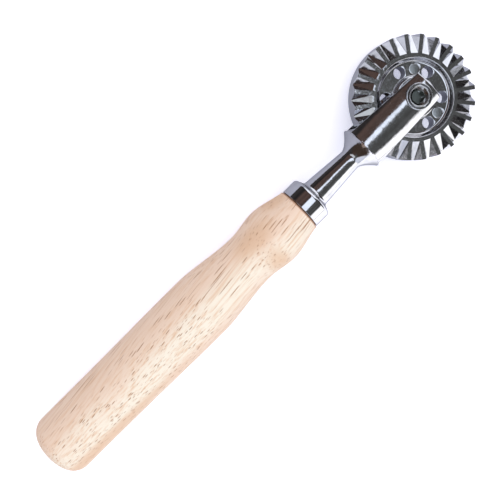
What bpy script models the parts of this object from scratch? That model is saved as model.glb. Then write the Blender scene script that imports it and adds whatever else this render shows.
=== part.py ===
"""Crimping pasta wheel: a ribbed cutter wheel in a chromed fork on a turned wooden handle.

Lengths are metres. The tool lies on its side, as on a table: +X runs along the handle from the
butt to the wheel, and the axle stands along +Z. The origin is under the middle of the overall
box, on the surface that the handle lies on.
"""

import math

import bmesh
import bpy
from mathutils import Matrix, Vector

# Clearance between neighbouring pieces, and how far a cut runs past the face that it opens
GAP = 0.0003
OVERRUN = 0.0010

# Turned handle: radii, and distances back from the front shoulder that the ferrule meets
HANDLE_LENGTH = 0.1171
BUTT_RADIUS = 0.0112
BUTT_CORNER_RADIUS = 0.0052
BUTT_TAPER_LENGTH = 0.0210
BELLY_RADIUS = 0.0116
BELLY_TO_SHOULDER = 0.0470
WAIST_RADIUS = 0.00942
WAIST_TO_SHOULDER = 0.0229
SWELL_RADIUS = 0.01066
SWELL_TO_SHOULDER = 0.0122
SHOULDER_RADIUS = 0.0084

# Ferrule: a drawn cap over the handle's front tenon
FERRULE_LENGTH = 0.0067
FERRULE_RADIUS = 0.00815
FERRULE_WALL = 0.0008
FERRULE_EDGE_RADIUS = 0.0013

# Tang: a ringed stud, fast in the neck of the fork and driven into the handle
TANG_RADIUS = 0.0022
TANG_IN_HANDLE = 0.0420
TANG_IN_NECK = 0.0110
TANG_POINT_LENGTH = 0.0020
TANG_RING_PITCH = 0.0040
TANG_RING_DEPTH = 0.0003
TANG_RING_COUNT = 8

# Fork: a turned stem with a foot, a neck and a flare, then a yoke of two cheeks with rounded backs
FOOT_RADIUS = 0.00505
FOOT_FILLET_RADIUS = 0.0014
NECK_RADIUS = 0.0038
NECK_LENGTH = 0.0176
FLARE_LENGTH = 0.0056
FLARE_RADIUS = 0.0081
FLARE_RIM = 0.0003
FLARE_BEND = 1.5
YOKE_BACK_WALL = 0.00165
YOKE_BASE_WIDTH = 0.0143
YOKE_TIP_WIDTH = 0.0112
YOKE_BASE_DEPTH = 0.0160
YOKE_TIP_DEPTH = 0.0151
CHEEK_BACK_RADIUS = 0.0110
TIP_BEYOND_AXLE = 0.0059
SLOT_BEHIND_WHEEL = 0.0012
BOSS_RADIUS = 0.0045
BOSS_HEIGHT = 0.0080

# Wheel: a ribbed rim round a sunk web that rises to the rim in a slope, and a hub
WHEEL_RADIUS = 0.0210
RIM_THICKNESS = 0.0080
RIB_COUNT = 24
RIB_WIDTH = 0.00145
RIB_START_DEGREES = 10.7
POCKET_INNER_RADIUS = 0.0147
POCKET_STEP = 0.0002
POCKET_DEPTH = 0.0040
RECESS_RADIUS = 0.0133
RECESS_FOOT_RADIUS = 0.0122
RECESS_DEPTH = 0.0015
HUB_RADIUS = 0.0072
HUB_WIDTH = 0.0094
LIGHTENING_HOLE_COUNT = 6
LIGHTENING_HOLE_RADIUS = 0.00205
LIGHTENING_HOLE_CIRCLE = 0.0097
LIGHTENING_HOLE_START_DEGREES = -42.0
PIN_MARK_COUNT = 3
PIN_MARK_RADIUS = 0.0019
PIN_MARK_DEPTH = 0.0002
PIN_MARK_START_DEGREES = 46.0

# Axle: a headed sleeve from above, and a headed screw that enters it from below
AXLE_RADIUS = 0.0028
AXLE_HEAD_RADIUS = 0.0036
AXLE_HEAD_THICKNESS = 0.0016
AXLE_HEAD_PROUD = 0.0003
AXLE_HEAD_EDGE = 0.0003
SLEEVE_SOCKET_ACROSS_FLATS = 0.0041
SLEEVE_SOCKET_DEPTH = 0.0045
SCREW_RADIUS = 0.0018
SCREW_LENGTH = 0.0090
SCREW_SOCKET_ACROSS_FLATS = 0.0025
SCREW_SOCKET_DEPTH = 0.0022
SOCKET_TURN_DEGREES = 15.0

# Facets, and the points along each stretch of an outline
HANDLE_STEPS = 48
TURNED_STEPS = 40
WHEEL_STEPS = 96
SMALL_STEPS = 24
CORNER_STEPS = 5
FLARE_STEPS = 7
SWELL_POINTS = 7
WAIST_POINTS = 8
BELLY_POINTS = 10
BUTT_POINTS = 5
HEX_SIDES = 6
SHARP_EDGE_DEGREES = 30.0
MERGE_DISTANCE = 0.00001
FULL_TURN = 2.0 * math.pi
QUARTER_TURN = 0.5 * math.pi

# The yoke is as long as its back wall, the wheel up to its axle and the tips beyond that
YOKE_LENGTH = YOKE_BACK_WALL + SLOT_BEHIND_WHEEL + WHEEL_RADIUS + TIP_BEYOND_AXLE

# Distances from the butt
FERRULE_START = HANDLE_LENGTH + GAP
FERRULE_FRONT = FERRULE_START + FERRULE_LENGTH
FOOT_START = FERRULE_FRONT + GAP
FLARE_START = FOOT_START + NECK_LENGTH
YOKE_START = FLARE_START + FLARE_LENGTH
YOKE_END = YOKE_START + YOKE_LENGTH
AXLE_PLACE = YOKE_END - TIP_BEYOND_AXLE
OVERALL_LENGTH = AXLE_PLACE + WHEEL_RADIUS

# Sizes that follow from their neighbours
SLOT_WIDTH = HUB_WIDTH + 2.0 * GAP
TENON_RADIUS = FERRULE_RADIUS - FERRULE_WALL - GAP
TENON_LENGTH = GAP + FERRULE_LENGTH - FERRULE_WALL - GAP
BOSS_SEAT_HEIGHT = BOSS_HEIGHT + AXLE_HEAD_PROUD - AXLE_HEAD_THICKNESS - GAP
AXLE_HEAD_TOP = BOSS_HEIGHT + AXLE_HEAD_PROUD
AXLE_HEAD_UNDERSIDE = AXLE_HEAD_TOP - AXLE_HEAD_THICKNESS
AXIS_HEIGHT = max(BELLY_RADIUS, BUTT_RADIUS, SWELL_RADIUS, AXLE_HEAD_TOP)


def along(distance):
    """World X of a distance from the butt."""
    return distance - 0.5 * OVERALL_LENGTH


def clear_scene():
    for thing in list(bpy.data.objects):
        bpy.data.objects.remove(thing, do_unlink=True)


def new_collection(name):
    collection = bpy.data.collections.new(name)
    bpy.context.scene.collection.children.link(collection)
    return collection


def material(name, colour, roughness, metallic):
    made = bpy.data.materials.new(name)
    made.use_nodes = True
    shader = made.node_tree.nodes["Principled BSDF"]
    shader.inputs["Base Color"].default_value = (*colour, 1.0)
    shader.inputs["Roughness"].default_value = roughness
    shader.inputs["Metallic"].default_value = metallic
    return made


def place(thing, collection, parent=None):
    collection.objects.link(thing)
    thing.parent = parent
    return thing


def as_cutter(thing):
    thing.hide_render = True
    thing.display_type = "WIRE"
    return thing


def shade_round(mesh):
    mesh.shade_smooth()
    mesh.set_sharp_from_angle(angle=math.radians(SHARP_EDGE_DEGREES))


def mesh_object(name, shape):
    mesh = bpy.data.meshes.new(name)
    shape.to_mesh(mesh)
    shape.free()
    shade_round(mesh)
    return bpy.data.objects.new(name, mesh)


def turned(name, profile, steps):
    """Turns a profile of (radius, height) points about the local Z axis."""
    mesh = bpy.data.meshes.new(name)
    points = [(radius, 0.0, height) for radius, height in profile]
    edges = [(index, index + 1) for index in range(len(points) - 1)]
    mesh.from_pydata(points, edges, [])
    thing = bpy.data.objects.new(name, mesh)
    screw = thing.modifiers.new("turn", "SCREW")
    screw.steps = steps
    screw.render_steps = steps
    screw.use_merge_vertices = True
    screw.merge_threshold = MERGE_DISTANCE
    screw.use_smooth_shade = True
    return thing


def closed(profile):
    """Closes a profile that never reaches the axis."""
    return profile + [profile[0]]


def round_bar(name, radius, low, high, steps):
    """A cylinder between two heights of its local Z axis."""
    shape = bmesh.new()
    bmesh.ops.create_cone(
        shape,
        cap_ends=True,
        segments=steps,
        radius1=radius,
        radius2=radius,
        depth=high - low,
        matrix=Matrix.Translation((0.0, 0.0, 0.5 * (low + high))),
    )
    return mesh_object(name, shape)


def boolean(thing, other, operation):
    cut = thing.modifiers.new(other.name, "BOOLEAN")
    cut.operation = operation
    cut.solver = "EXACT"
    cut.object = other


def lay_along_x(thing, distance=0.0):
    """Turns a piece made about its local Z axis so that it runs along the tool."""
    thing.location = (along(distance), 0.0, AXIS_HEIGHT)
    thing.rotation_euler = (0.0, QUARTER_TURN, 0.0)
    return thing


def arc(centre_radius, centre_height, radius, start, end, steps):
    """Points of a round corner in a turned profile, with angles from the +radius direction."""
    points = []
    for index in range(steps + 1):
        angle = start + (end - start) * index / steps
        points.append((centre_radius + radius * math.cos(angle), centre_height + radius * math.sin(angle)))
    return points


def eased(start, end, steps):
    """Points of an S curve from one (radius, height) station to the next, level at both ends."""
    points = []
    for index in range(1, steps + 1):
        share = index / steps
        blend = share * share * (3.0 - 2.0 * share)
        radius = start[0] + (end[0] - start[0]) * blend
        height = start[1] + (end[1] - start[1]) * share
        points.append((radius, height))
    return points


def falling(start, end, steps):
    """Points from a level station down to the next, with the steep part reaching its end."""
    points = []
    for index in range(1, steps + 1):
        share = index / steps
        blend = share * share * (1.0 - 0.5 * share) * 2.0
        radius = start[0] + (end[0] - start[0]) * blend
        height = start[1] + (end[1] - start[1]) * share
        points.append((radius, height))
    return points


def handle_outline():
    """The wood's outer side, from its shoulder down to the centre of the butt."""
    corner = (BUTT_RADIUS - BUTT_CORNER_RADIUS, BUTT_CORNER_RADIUS)
    butt_side = (BUTT_RADIUS, BUTT_TAPER_LENGTH)
    belly = (BELLY_RADIUS, HANDLE_LENGTH - BELLY_TO_SHOULDER)
    waist = (WAIST_RADIUS, HANDLE_LENGTH - WAIST_TO_SHOULDER)
    swell = (SWELL_RADIUS, HANDLE_LENGTH - SWELL_TO_SHOULDER)
    shoulder = (SHOULDER_RADIUS, HANDLE_LENGTH)
    outline = [shoulder]
    outline += reversed(falling(swell, shoulder, SWELL_POINTS)[:-1])
    outline += [swell]
    outline += eased(swell, waist, WAIST_POINTS)
    outline += eased(waist, belly, BELLY_POINTS)
    outline += eased(belly, butt_side, BUTT_POINTS)
    outline += arc(*corner, BUTT_CORNER_RADIUS, 0.0, -QUARTER_TURN, CORNER_STEPS)
    outline += [(0.0, 0.0)]
    return outline


def make_handle(parts):
    bore_radius = TANG_RADIUS + GAP
    bore_bottom = FOOT_START - TANG_IN_HANDLE - GAP
    front = HANDLE_LENGTH + TENON_LENGTH
    profile = [(0.0, bore_bottom), (bore_radius, bore_bottom), (bore_radius, front)]
    profile += [(TENON_RADIUS, front), (TENON_RADIUS, HANDLE_LENGTH)]
    profile += handle_outline()
    handle = turned("handle", profile, HANDLE_STEPS)
    place(lay_along_x(handle), parts)
    handle.data.materials.append(material("wood", (0.80, 0.62, 0.42), 0.65, 0.0))


def make_ferrule(parts, chrome):
    inner = FERRULE_RADIUS - FERRULE_WALL
    hole = TANG_RADIUS + GAP
    face = FERRULE_LENGTH
    profile = [(hole, face - FERRULE_WALL), (hole, face)]
    profile += reversed(arc(FERRULE_RADIUS - FERRULE_EDGE_RADIUS, face - FERRULE_EDGE_RADIUS,
                            FERRULE_EDGE_RADIUS, 0.0, QUARTER_TURN, CORNER_STEPS))
    profile += [(FERRULE_RADIUS, 0.0), (inner, 0.0), (inner, face - FERRULE_WALL)]
    ferrule = turned("ferrule", closed(profile), HANDLE_STEPS)
    place(lay_along_x(ferrule, FERRULE_START), parts)
    ferrule.data.materials.append(chrome)


def make_tang(parts):
    """A stud with shallow rings where the wood grips it, and a blunt point at each end."""
    back = -TANG_IN_HANDLE
    front = TANG_IN_NECK
    point_radius = TANG_RADIUS - 0.5 * TANG_POINT_LENGTH
    profile = [(0.0, front), (TANG_RADIUS, front)]
    for ring in range(1, TANG_RING_COUNT + 1):
        height = -ring * TANG_RING_PITCH
        profile += [(TANG_RADIUS, height),
                    (TANG_RADIUS - TANG_RING_DEPTH, height - TANG_RING_DEPTH),
                    (TANG_RADIUS, height - 0.5 * TANG_RING_PITCH)]
    profile += [(TANG_RADIUS, back + TANG_POINT_LENGTH), (point_radius, back), (0.0, back)]
    tang = turned("tang", profile, SMALL_STEPS)
    place(lay_along_x(tang, FOOT_START), parts)
    tang.data.materials.append(material("steel", (0.55, 0.55, 0.57), 0.4, 1.0))


def stem():
    """Foot, neck and flare, with the flare's rim just inside the yoke's back wall."""
    flare_low = (NECK_RADIUS, NECK_LENGTH)
    flare_high = (FLARE_RADIUS, NECK_LENGTH + FLARE_LENGTH)
    end = flare_high[1] + FLARE_RIM
    profile = [(0.0, end), (FLARE_RADIUS, end), flare_high]
    for index in range(FLARE_STEPS - 1, 0, -1):
        share = index / FLARE_STEPS
        bend = share ** FLARE_BEND
        profile.append((flare_low[0] + (flare_high[0] - flare_low[0]) * bend,
                        flare_low[1] + (flare_high[1] - flare_low[1]) * share))
    profile += [flare_low]
    profile += arc(FOOT_RADIUS + FOOT_FILLET_RADIUS, FOOT_FILLET_RADIUS, FOOT_FILLET_RADIUS,
                   math.pi, math.pi + QUARTER_TURN, CORNER_STEPS)
    profile += [(0.0, 0.0)]
    return turned("fork", profile, TURNED_STEPS)


def yoke_block(name):
    """The yoke's straight sides, narrowing evenly from its base to its tips."""
    shape = bmesh.new()
    bmesh.ops.create_cube(shape, size=1.0)
    for corner in shape.verts:
        at_tip = corner.co.x > 0.0
        corner.co.x = along(YOKE_END if at_tip else YOKE_START)
        corner.co.y *= YOKE_TIP_WIDTH if at_tip else YOKE_BASE_WIDTH
        corner.co.z = AXIS_HEIGHT + corner.co.z * 2.0 * YOKE_BASE_DEPTH
    return mesh_object(name, shape)


def cheek_back(name, side):
    """A long round bar whose outer side is the rounded back of one cheek."""
    base_rise = side * (0.5 * YOKE_BASE_DEPTH - CHEEK_BACK_RADIUS)
    tip_rise = side * (0.5 * YOKE_TIP_DEPTH - CHEEK_BACK_RADIUS)
    base = Vector((along(YOKE_START), 0.0, AXIS_HEIGHT + base_rise))
    run = Vector((YOKE_LENGTH, 0.0, tip_rise - base_rise))
    bar = round_bar(name, CHEEK_BACK_RADIUS, -OVERALL_LENGTH, OVERALL_LENGTH, WHEEL_STEPS)
    bar.location = base
    bar.rotation_mode = "QUATERNION"
    bar.rotation_quaternion = run.to_track_quat("Z", "Y")
    return bar


def slot_box(name):
    """The space between the cheeks, from behind the wheel to past the tips."""
    low = along(AXLE_PLACE - WHEEL_RADIUS - SLOT_BEHIND_WHEEL)
    high = along(YOKE_END + OVERRUN)
    shape = bmesh.new()
    bmesh.ops.create_cube(shape, size=1.0)
    for corner in shape.verts:
        corner.co.x = high if corner.co.x > 0.0 else low
        corner.co.y *= 2.0 * YOKE_BASE_WIDTH
        corner.co.z = AXIS_HEIGHT + corner.co.z * SLOT_WIDTH
    return mesh_object(name, shape)


def at_axle(thing):
    thing.location = (along(AXLE_PLACE), 0.0, AXIS_HEIGHT)
    return thing


def make_fork(parts, cutters, chrome):
    fork = place(lay_along_x(stem(), FOOT_START), parts)
    fork.data.materials.append(chrome)
    yoke = place(as_cutter(yoke_block("yoke")), cutters)
    for back in (cheek_back("upper_back", 1.0), cheek_back("lower_back", -1.0)):
        place(as_cutter(back), cutters)
        boolean(yoke, back, "INTERSECT")
    boolean(fork, yoke, "UNION")
    past_boss = BOSS_HEIGHT + OVERRUN
    bosses = round_bar("bosses", BOSS_RADIUS, -BOSS_HEIGHT, BOSS_HEIGHT, TURNED_STEPS)
    bore = round_bar("axle_bore", AXLE_RADIUS + GAP, -past_boss, past_boss, SMALL_STEPS)
    seat_radius = AXLE_HEAD_RADIUS + GAP
    upper_seat = round_bar("upper_seat", seat_radius, BOSS_SEAT_HEIGHT, past_boss, TURNED_STEPS)
    lower_seat = round_bar("lower_seat", seat_radius, -past_boss, -BOSS_SEAT_HEIGHT, TURNED_STEPS)
    tang_bore = round_bar("tang_bore", TANG_RADIUS + GAP, -OVERRUN, TANG_IN_NECK + GAP, SMALL_STEPS)
    steps = [
        (at_axle(bosses), "UNION"),
        (slot_box("slot"), "DIFFERENCE"),
        (at_axle(bore), "DIFFERENCE"),
        (at_axle(upper_seat), "DIFFERENCE"),
        (at_axle(lower_seat), "DIFFERENCE"),
        (lay_along_x(tang_bore, FOOT_START), "DIFFERENCE"),
    ]
    for cutter, operation in steps:
        place(as_cutter(cutter), cutters)
        boolean(fork, cutter, operation)


def wheel_profile():
    """Half of the wheel's section, outer side first from top to bottom, then up its bore."""
    rim = 0.5 * RIM_THICKNESS
    web = rim - RECESS_DEPTH
    hub = 0.5 * HUB_WIDTH
    bore = AXLE_RADIUS + GAP
    upper = [(bore, hub), (HUB_RADIUS, hub), (HUB_RADIUS, web), (RECESS_FOOT_RADIUS, web)]
    upper += [(RECESS_RADIUS, rim), (WHEEL_RADIUS, rim)]
    lower = [(radius, -height) for radius, height in reversed(upper)]
    return closed(upper + lower)


def pocket(shape, angle):
    """Adds the solid of one crimping pocket: two flanks and a floor that meet at the rim."""
    top = 0.5 * RIM_THICKNESS
    inner = POCKET_INNER_RADIUS
    outer = WHEEL_RADIUS
    half_pitch = math.tan(0.5 * FULL_TURN / RIB_COUNT)
    inner_half = inner * half_pitch - 0.5 * RIB_WIDTH
    outer_half = outer * half_pitch - 0.5 * RIB_WIDTH
    spread = (outer_half - inner_half) / (outer - inner)
    fall = outer_half / POCKET_DEPTH

    def flank(x, z):
        """Half width between the flanks at a place x along the pocket and a height z."""
        return outer_half + spread * (x - outer) + fall * (z - top)

    high = top + OVERRUN
    past = outer + OVERRUN
    valley = top - flank(past, top) / fall
    step = top - POCKET_STEP
    corners = [
        (inner, flank(inner, high), high),
        (inner, -flank(inner, high), high),
        (inner, flank(inner, step), step),
        (inner, -flank(inner, step), step),
        (past, flank(past, high), high),
        (past, -flank(past, high), high),
        (past, 0.0, valley),
        (outer, 0.0, top - POCKET_DEPTH),
    ]
    turn = Matrix.Rotation(angle, 3, "Z")
    points = [shape.verts.new(turn @ Vector(corner)) for corner in corners]
    hull = bmesh.ops.convex_hull(shape, input=points)
    assert not hull["geom_interior"]


def on_hole_circle(cutter, start_degrees, turn_share):
    angle = math.radians(start_degrees) + FULL_TURN * turn_share
    x = LIGHTENING_HOLE_CIRCLE * math.cos(angle)
    y = LIGHTENING_HOLE_CIRCLE * math.sin(angle)
    cutter.location = (x, y, 0.0)
    return cutter


def make_wheel(parts, cutters, chrome, pivot):
    wheel = place(turned("cutter_wheel", wheel_profile(), WHEEL_STEPS), parts, pivot)
    wheel.data.materials.append(chrome)
    shape = bmesh.new()
    for index in range(RIB_COUNT):
        pocket(shape, math.radians(RIB_START_DEGREES) + FULL_TURN * (index + 0.5) / RIB_COUNT)
    bmesh.ops.recalc_face_normals(shape, faces=shape.faces)
    pockets = mesh_object("pockets", shape)
    place(as_cutter(pockets), cutters, pivot)
    boolean(wheel, pockets, "DIFFERENCE")
    past = 0.5 * HUB_WIDTH + OVERRUN
    web = 0.5 * RIM_THICKNESS - RECESS_DEPTH
    rounds = []
    for index in range(LIGHTENING_HOLE_COUNT):
        hole = round_bar(f"lightening_hole_{index + 1}", LIGHTENING_HOLE_RADIUS, -past, past, SMALL_STEPS)
        rounds.append(on_hole_circle(hole, LIGHTENING_HOLE_START_DEGREES, index / LIGHTENING_HOLE_COUNT))
    for index in range(PIN_MARK_COUNT):
        mark = round_bar(f"pin_mark_{index + 1}", PIN_MARK_RADIUS, web - PIN_MARK_DEPTH, past, SMALL_STEPS)
        rounds.append(on_hole_circle(mark, PIN_MARK_START_DEGREES, index / PIN_MARK_COUNT))
    for cutter in rounds:
        place(as_cutter(cutter), cutters, pivot)
        boolean(wheel, cutter, "DIFFERENCE")


def head_profile():
    """The outer side of an axle head, top to bottom, with a small round edge."""
    edge = arc(AXLE_HEAD_RADIUS - AXLE_HEAD_EDGE, AXLE_HEAD_TOP - AXLE_HEAD_EDGE, AXLE_HEAD_EDGE,
               QUARTER_TURN, 0.0, CORNER_STEPS)
    return edge + [(AXLE_HEAD_RADIUS, AXLE_HEAD_UNDERSIDE)]


def cut_socket(piece, cutters, across_flats, depth):
    """Cuts a hexagon socket in the head of an axle piece that is made head up."""
    corner_radius = 0.5 * across_flats / math.cos(math.pi / HEX_SIDES)
    bottom = AXLE_HEAD_TOP - depth
    top = AXLE_HEAD_TOP + OVERRUN
    socket = round_bar(f"{piece.name}_socket", corner_radius, bottom, top, HEX_SIDES)
    socket.rotation_euler = (0.0, 0.0, math.radians(SOCKET_TURN_DEGREES))
    place(as_cutter(socket), cutters, piece)
    boolean(piece, socket, "DIFFERENCE")


def make_axle_sleeve(parts, cutters, steel):
    """The headed sleeve that the wheel turns on: its head and socket are on the upper side."""
    inner = SCREW_RADIUS + GAP
    mouth = GAP - AXLE_HEAD_UNDERSIDE
    bottom = SCREW_LENGTH - AXLE_HEAD_UNDERSIDE + GAP
    profile = [(0.0, AXLE_HEAD_TOP)] + head_profile()
    profile += [(AXLE_RADIUS, AXLE_HEAD_UNDERSIDE), (AXLE_RADIUS, mouth), (inner, mouth)]
    profile += [(inner, bottom), (0.0, bottom)]
    sleeve = at_axle(place(turned("axle_sleeve", profile, TURNED_STEPS), parts))
    sleeve.data.materials.append(steel)
    cut_socket(sleeve, cutters, SLEEVE_SOCKET_ACROSS_FLATS, SLEEVE_SOCKET_DEPTH)


def make_axle_screw(parts, cutters, steel):
    """The screw that closes the sleeve, made head up and then turned over."""
    tip = AXLE_HEAD_UNDERSIDE - SCREW_LENGTH
    profile = [(0.0, AXLE_HEAD_TOP)] + head_profile()
    profile += [(SCREW_RADIUS, AXLE_HEAD_UNDERSIDE), (SCREW_RADIUS, tip), (0.0, tip)]
    screw = at_axle(place(turned("axle_screw", profile, TURNED_STEPS), parts))
    screw.rotation_euler = (math.pi, 0.0, 0.0)
    screw.data.materials.append(steel)
    cut_socket(screw, cutters, SCREW_SOCKET_ACROSS_FLATS, SCREW_SOCKET_DEPTH)


def main():
    clear_scene()
    parts = new_collection("ravioli_cutter_wheel")
    cutters = new_collection("cutters")
    chrome = material("chrome", (0.78, 0.78, 0.80), 0.12, 1.0)
    steel = material("axle_steel", (0.62, 0.62, 0.64), 0.25, 1.0)
    pivot = at_axle(bpy.data.objects.new("wheel_pivot", None))
    place(pivot, parts)
    make_handle(parts)
    make_ferrule(parts, chrome)
    make_tang(parts)
    make_fork(parts, cutters, chrome)
    make_wheel(parts, cutters, chrome, pivot)
    make_axle_sleeve(parts, cutters, steel)
    make_axle_screw(parts, cutters, steel)


main()
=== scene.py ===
"""Looks of the crimping pasta wheel: turned wood, chromed castings, a pale floor and a studio.

Lengths are metres, in the part's own frame: +X runs from the butt to the wheel, and the axle
stands along +Z.
"""

import math

import bmesh
import bpy
from mathutils import Matrix, Vector


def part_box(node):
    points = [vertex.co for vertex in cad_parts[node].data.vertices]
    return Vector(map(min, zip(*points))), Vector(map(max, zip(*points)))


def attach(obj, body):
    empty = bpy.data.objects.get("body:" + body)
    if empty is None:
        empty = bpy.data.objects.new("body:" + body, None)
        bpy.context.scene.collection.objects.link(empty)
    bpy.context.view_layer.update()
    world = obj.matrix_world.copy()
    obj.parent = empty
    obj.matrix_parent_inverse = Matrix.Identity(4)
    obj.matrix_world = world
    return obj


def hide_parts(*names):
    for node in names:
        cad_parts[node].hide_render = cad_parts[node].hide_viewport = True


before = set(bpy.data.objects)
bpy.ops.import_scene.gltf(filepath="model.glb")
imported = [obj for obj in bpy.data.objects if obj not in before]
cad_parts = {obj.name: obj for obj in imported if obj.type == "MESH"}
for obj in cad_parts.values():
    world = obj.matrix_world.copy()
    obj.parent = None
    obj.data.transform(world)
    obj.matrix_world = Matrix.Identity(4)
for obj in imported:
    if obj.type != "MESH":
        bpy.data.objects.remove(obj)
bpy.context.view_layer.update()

FULL_TURN = 2.0 * math.pi
QUARTER_TURN = 0.5 * math.pi

# Camera: how the tool lies before it, and where the wheel's centre comes in the picture
PICTURE_HEIGHT_PIXELS = 481
PIXELS_PER_METRE = 2930.0
CAMERA_DISTANCE = 0.245
TOOL_ROLL_DEGREES = 8.05
TOOL_TURN_DEGREES = 44.70
WHEEL_RIGHT_OF_CENTRE = 0.05848
WHEEL_ABOVE_CENTRE = 0.04843

# Wood: radii, and distances back from the shoulder that the ferrule meets
BUTT_CORNER_RADIUS = 0.0052
BUTT_RADIUS = 0.0112
BUTT_TAPER_LENGTH = 0.0210
HANDLE_LENGTH = 0.1171
BELLY_RADIUS = 0.0116
BELLY_TO_SHOULDER = 0.0470
WAIST_RADIUS = 0.00942
WAIST_TO_SHOULDER = 0.0229
SWELL_RADIUS = 0.01066
SWELL_TO_SHOULDER = 0.0122
SHOULDER_RADIUS = 0.0084
SHOULDER_EDGE = 0.0003
SHOULDER_LIP = 0.0004
TENON_RADIUS = 0.00705

# Ferrule
FERRULE_WALL = 0.0008
FERRULE_EDGE_RADIUS = 0.0013
FERRULE_BACK_EDGE = 0.00025

# Stem of the fork
STEM_HOLE_RADIUS = 0.0025
STEM_HOLE_DEPTH = 0.0113
FOOT_RADIUS = 0.00505
FOOT_FILLET_RADIUS = 0.0014
NECK_RADIUS = 0.0038
NECK_LENGTH = 0.0174
FLARE_LENGTH = 0.0054
FLARE_RADIUS = 0.0081
FLARE_RIM = 0.0003
FLARE_BEND = 1.5

# Yoke of the fork
YOKE_BASE_WIDTH = 0.0143
YOKE_TIP_WIDTH = 0.0112
YOKE_BASE_DEPTH = 0.0160
YOKE_TIP_DEPTH = 0.0151
CHEEK_BACK_RADIUS = 0.0110
CHEEK_BASE_BACK_RADIUS = 0.0094
CHEEK_BASE_SHARE = 0.35
CHEEK_EDGE = 0.0004
TIP_EDGE = 0.0006
BASE_EDGE = 0.0004
SLOT_WIDTH = 0.0100
SLOT_BEHIND_WHEEL = 0.0012
BOSS_RADIUS = 0.0045
BOSS_EDGE = 0.0003
SEAT_RADIUS = 0.0039

# Wheel
RIM_THICKNESS = 0.0080
RIB_COUNT = 24
RIB_WIDTH = 0.00145
RIB_START_DEGREES = 10.7
POCKET_INNER_RADIUS = 0.0147
POCKET_DEPTH = 0.0035
POCKET_FLOOR_HALF_WIDTH = 0.00010
RECESS_TOP_RADIUS = 0.0133
RECESS_FOOT_RADIUS = 0.0122
RECESS_FILLET_RADIUS = 0.0012
RECESS_EDGE_RADIUS = 0.0004
RECESS_DEPTH = 0.0015
HUB_RADIUS = 0.0072
HUB_EDGE = 0.0008
HUB_FILLET_RADIUS = 0.0004
BORE_RADIUS = 0.0031
HOLE_COUNT = 6
HOLE_RADIUS = 0.00205
HOLE_CIRCLE = 0.0097
HOLE_START_DEGREES = -42.0
PIN_MARK_COUNT = 3
PIN_MARK_RADIUS = 0.0019
PIN_MARK_DEPTH = 0.0002
PIN_MARK_START_DEGREES = 46.0
PIN_MARK_GROOVE_DEPTH = 0.00004
PIN_MARK_GROOVE_WIDTH = 0.00028
CAST_EDGE = 0.00009

# Axle
AXLE_RADIUS = 0.0028
AXLE_HEAD_RADIUS = 0.0036
AXLE_HEAD_THICKNESS = 0.0016
AXLE_HEAD_EDGE = 0.0003
MOUTH_RADIUS = 0.0030
MOUTH_FOOT_RADIUS = 0.0022
MOUTH_DEPTH = 0.0012
SLEEVE_BORE_RADIUS = 0.0021
SLEEVE_BORE_DEPTH = 0.0090
SLEEVE_SOCKET_ACROSS_FLATS = 0.0041
SLEEVE_SOCKET_DEPTH = 0.0045
SCREW_RADIUS = 0.0018
SCREW_LENGTH = 0.0090
SCREW_SOCKET_ACROSS_FLATS = 0.0025
SCREW_SOCKET_DEPTH = 0.0022
SOCKET_TURN_DEGREES = 15.0
HEX_SIDES = 6

# Small lengths that serve every cut and joint
OVERRUN = 0.0010
TINY = 0.00005
WELD_DISTANCE = 0.000001

# Wood grain: how the fibres lean from the handle's axis, and the cells of its patterns along
# the fibres and across them
FIBRE_TILT_DEGREES = 11.0
FIBRE_TILT_SIDE_DEGREES = -60.0
STREAK_CELL = (0.030, 0.0007, 0.0007)
CLOUD_CELL = (0.060, 0.0080, 0.0080)
STREAK_NOISE_SHARES = (0.42, 0.76)
STREAK_TAN_SHARE = 0.80
STREAK_HEIGHT_SHARE = 0.3
PORE_CELL = (0.034, 0.0008, 0.0008)
FINE_PORE_CELL = (0.028, 0.0006, 0.0006)
FINE_PORE_SHIFT_SHARES = (0.4, 0.7, 0.2)
PORE_SHARE = 0.225
PORE_CORE_SHARE = 0.6
PORE_DEPTH = 0.00007
PORE_DARK_SHARE = 0.80
FINE_PORE_DARK_SHARE = 0.50
WOOD_GLOSS_NOISE_SHARES = (0.2, 0.8)
WOOD_ROUGHNESS_LIMITS = (0.48, 0.62)

# Tan patches of the wood, the last of them painted shade beside the ferrule, and a cream patch that is partly
# painted light: their middles from the butt's centre, and how far they reach
TAN_AND_SHADE_PATCHES = (
    ((0.018, -0.0084, 0.0074), (0.050, 0.0034, 0.0055)),
    ((0.099, 0.0050, 0.0085), (0.012, 0.0060, 0.0080)),
    ((0.1005, -0.0060, 0.0070), (0.0055, 0.0080, 0.0090)),
    # Painted shade on the upper side beside the ferrule
    ((0.113, 0.0085, 0.0030), (0.009, 0.0040, 0.0060)),
)
TAN_PATCH_SHARE = 0.62
PATCH_EDGE_SHARES = (0.75, 1.45)
# Cream over the top and lower side, partly the wood's tone and partly painted light; the rose round it is
# partly painted shade
CREAM_AND_LIGHT_PATCH = ((0.062, -0.0035, 0.0100), (0.120, 0.0100, 0.0120))

# Painted shade: a dark line on the wood where it meets the ferrule
FERRULE_SHADE_WIDTH = 0.0004

# Noises: how many sizes each one mixes, and how much each smaller size counts beside the last
STREAK_OCTAVES = 4.0
CLOUD_OCTAVES = 2.0
STAIN_OCTAVES = 4.0
GRAIN_OCTAVES = 3.0
WAVE_OCTAVES = 1.0
CEILING_OCTAVES = 3.0
PLAIN_SHARE = 0.5
CRISP_SHARE = 0.6

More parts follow.
